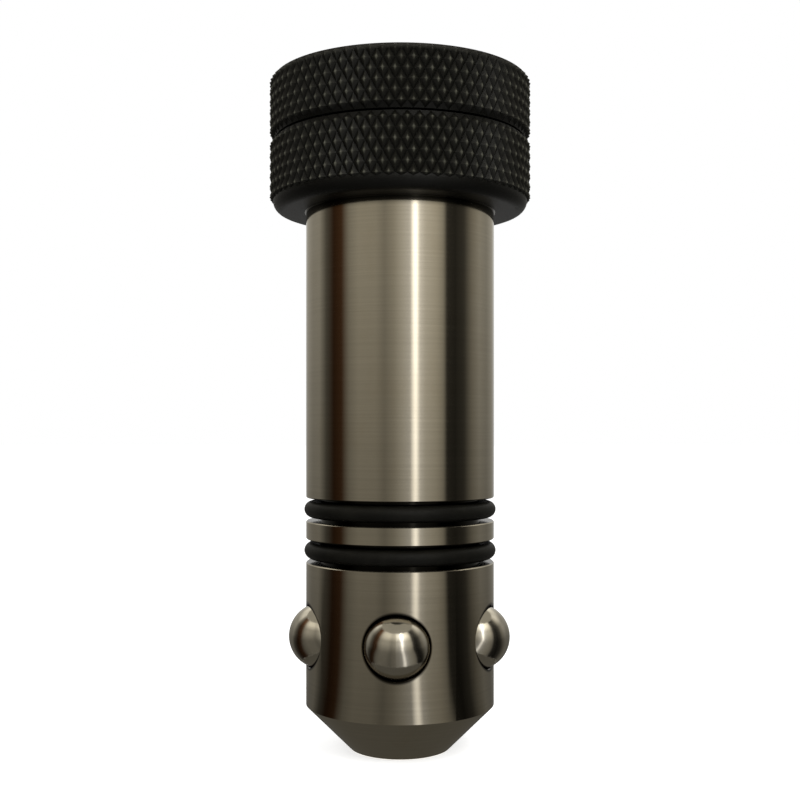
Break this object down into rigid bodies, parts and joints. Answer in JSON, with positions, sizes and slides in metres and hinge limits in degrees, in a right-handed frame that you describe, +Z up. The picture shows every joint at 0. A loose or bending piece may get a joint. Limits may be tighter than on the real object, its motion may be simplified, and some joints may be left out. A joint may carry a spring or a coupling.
{
  "type": "ball lock pin",
  "caption": "Clamping bolt with a knurled two-ring head: turning the upper ring draws locking balls in or pushes them out of the shank.",
  "frame": {"origin": "centre of the flat end of the nose, on the bolt's axis", "axes": "+Z up the bolt's axis towards the head, -Y through the first ball"},
  "size_m": [0.0388, 0.0388, 0.0989],
  "materials": {
    "ground_steel": "fine turned and ground",
    "black_oxide": "black oxide, oiled",
    "hardened_steel": "hardened, satin",
    "plain_steel": "turned",
    "spring_steel": "phosphated",
    "ball_steel": "polished",
    "ring_rubber": "matt"
  },
  "bodies": {
    "shank_body": {"shank": "ground_steel", "collar_ring": "black_oxide", "collar_pins": "plain_steel", "threaded_bush": "plain_steel", "bush_retaining_ring": "spring_steel", "upper_friction_ring": "ring_rubber", "lower_friction_ring": "ring_rubber", "dust_wiper_ring": "ring_rubber"},
    "cone_body": {"thrust_cone": "hardened_steel", "thrust_ball": "ball_steel", "cone_retaining_pins": "plain_steel"},
    "wheel_body": {"spindle": "hardened_steel", "spindle_stop_ring": "spring_steel", "spindle_o_ring": "ring_rubber", "hand_wheel": "black_oxide", "wheel_pins": "plain_steel"},
    "ball_1": {"ball_1": "ball_steel"},
    "ball_2": {"ball_2": "ball_steel"},
    "ball_3": {"ball_3": "ball_steel"},
    "ball_4": {"ball_4": "ball_steel"},
    "ball_5": {"ball_5": "ball_steel"}
  },
  "joints": [
    {"name": "cone_lift", "type": "slide", "parent": "shank_body", "child": "cone_body", "axis": [0, 0, 1], "range_m": [0, 0.0034]},
    {"name": "wheel_turn", "type": "hinge", "parent": "cone_body", "child": "wheel_body", "pos_m": [0, 0, 0.0945], "axis": [0, 0, 1], "range_deg": [0, 305.6]},
    {"name": "ball_1_slide", "type": "slide", "parent": "shank_body", "child": "ball_1", "axis": [0, 1, 0], "range_m": [0, 0.00285]},
    {"name": "ball_2_slide", "type": "slide", "parent": "shank_body", "child": "ball_2", "axis": [-0.9511, 0.309, 0], "range_m": [0, 0.00285]},
    {"name": "ball_3_slide", "type": "slide", "parent": "shank_body", "child": "ball_3", "axis": [-0.5878, -0.809, 0], "range_m": [0, 0.00285]},
    {"name": "ball_4_slide", "type": "slide", "parent": "shank_body", "child": "ball_4", "axis": [0.5878, -0.809, 0], "range_m": [0, 0.00285]},
    {"name": "ball_5_slide", "type": "slide", "parent": "shank_body", "child": "ball_5", "axis": [0.9511, 0.309, 0], "range_m": [0, 0.00285]}
  ],
  "couplings": [
    {"joint": "cone_lift", "follows": "wheel_turn", "m_per_rad": 0.00063662},
    {"joint": "ball_1_slide", "follows": "wheel_turn", "m_per_rad": 0.00053419},
    {"joint": "ball_2_slide", "follows": "wheel_turn", "m_per_rad": 0.00053419},
    {"joint": "ball_3_slide", "follows": "wheel_turn", "m_per_rad": 0.00053419},
    {"joint": "ball_4_slide", "follows": "wheel_turn", "m_per_rad": 0.00053419},
    {"joint": "ball_5_slide", "follows": "wheel_turn", "m_per_rad": 0.00053419}
  ]
}
